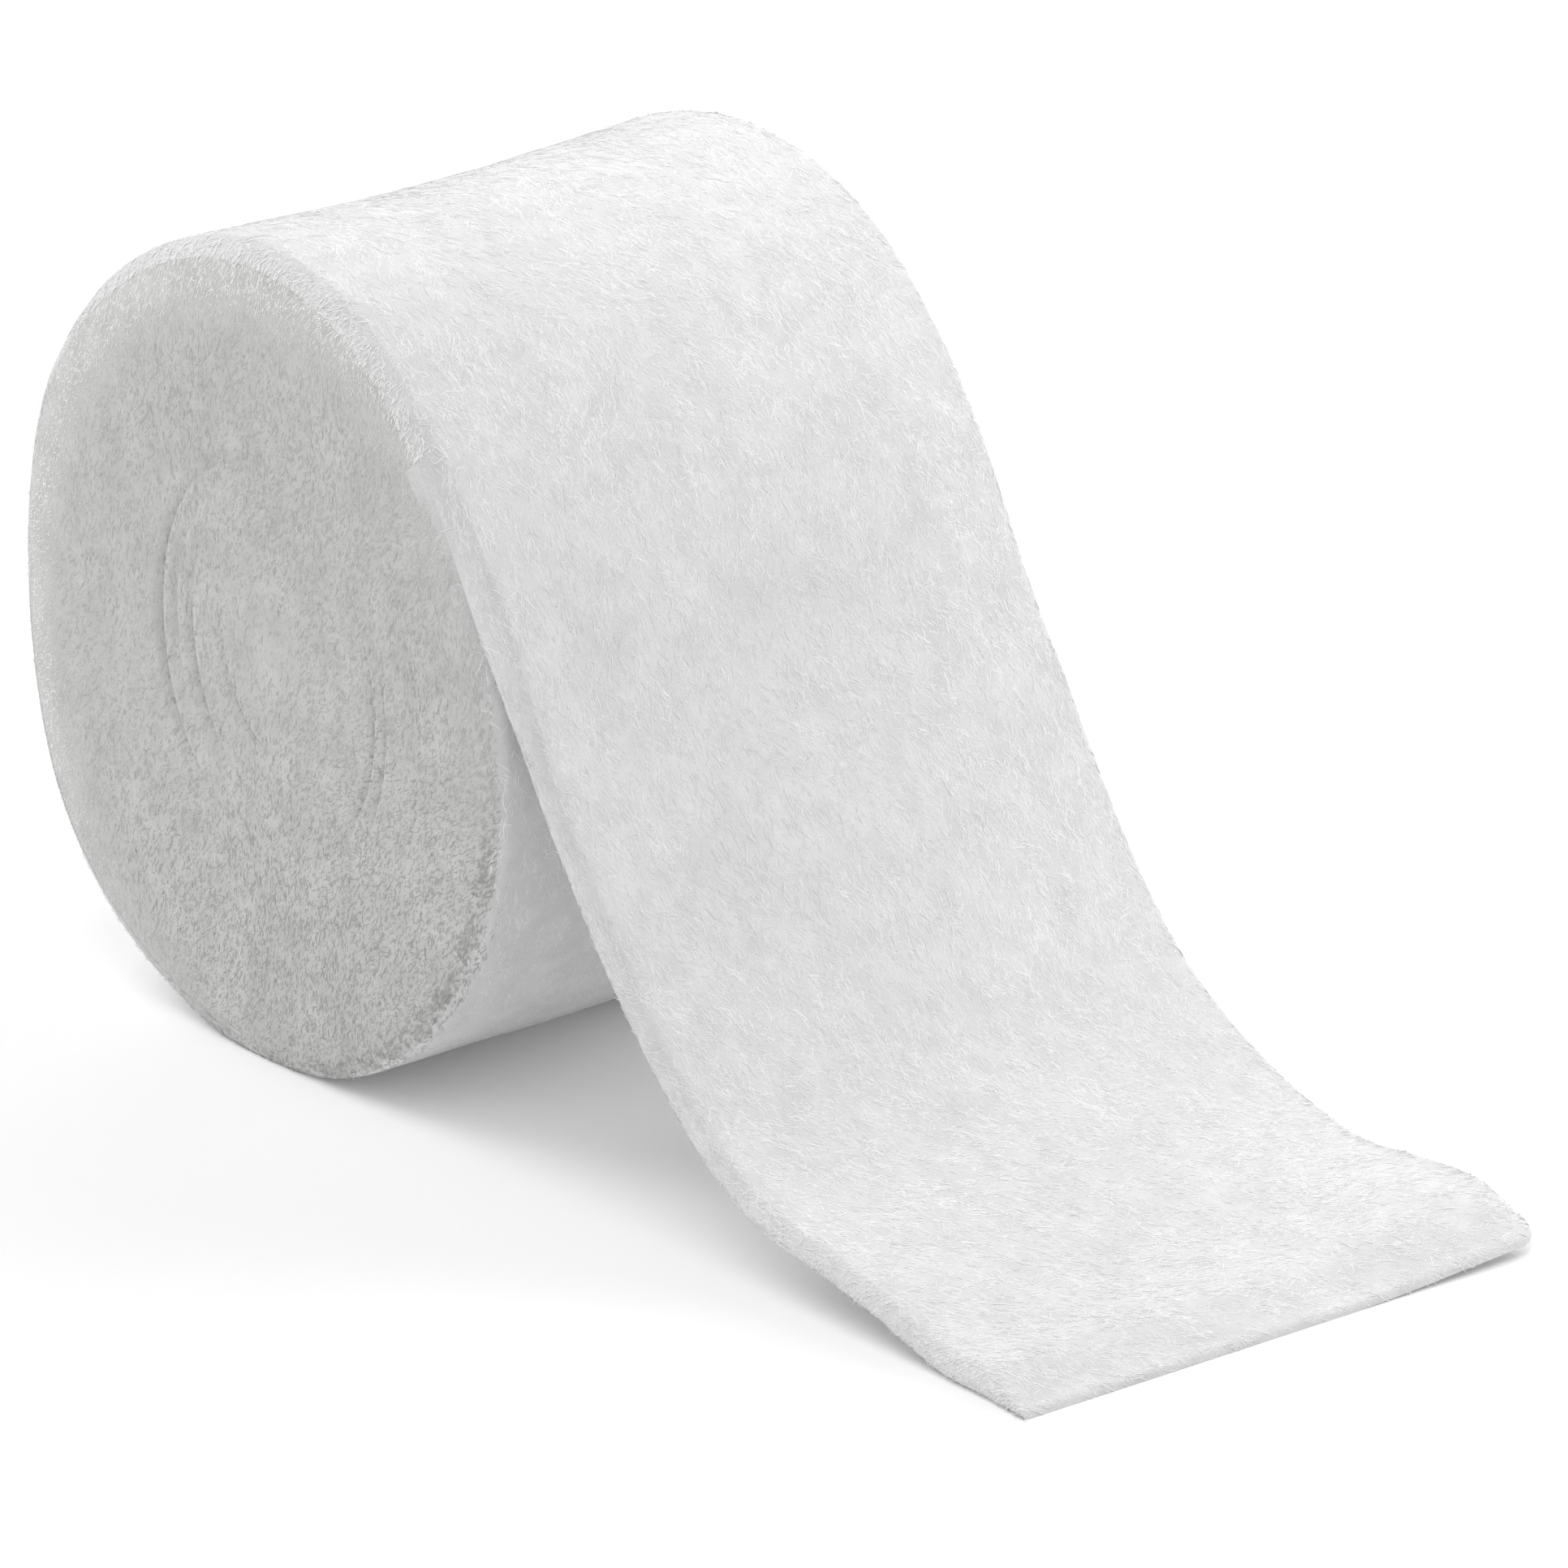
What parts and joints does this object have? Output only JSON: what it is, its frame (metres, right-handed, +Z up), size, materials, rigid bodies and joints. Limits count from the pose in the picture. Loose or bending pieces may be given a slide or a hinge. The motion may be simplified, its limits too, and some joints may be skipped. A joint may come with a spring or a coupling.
{
  "type": "cast padding roll",
  "caption": "Soft white nonwoven cast padding wound into a roll, standing on its side with the loose end run down to the floor, for wrapping a limb under a cast.",
  "frame": {"origin": "on the floor under the roll's axis at the middle of its width, at the small flat spot that the roll rests on", "axes": "+X towards the loose end, +Y along the roll's axis, +Z up"},
  "size_m": [0.1806, 0.075, 0.0982],
  "materials": {
    "padding": "matte white nonwoven fibre wadding with a soft, fuzzy surface"
  },
  "bodies": {
    "root": {"wound_roll": "padding", "loose_end": "padding"}
  },
  "joints": []
}
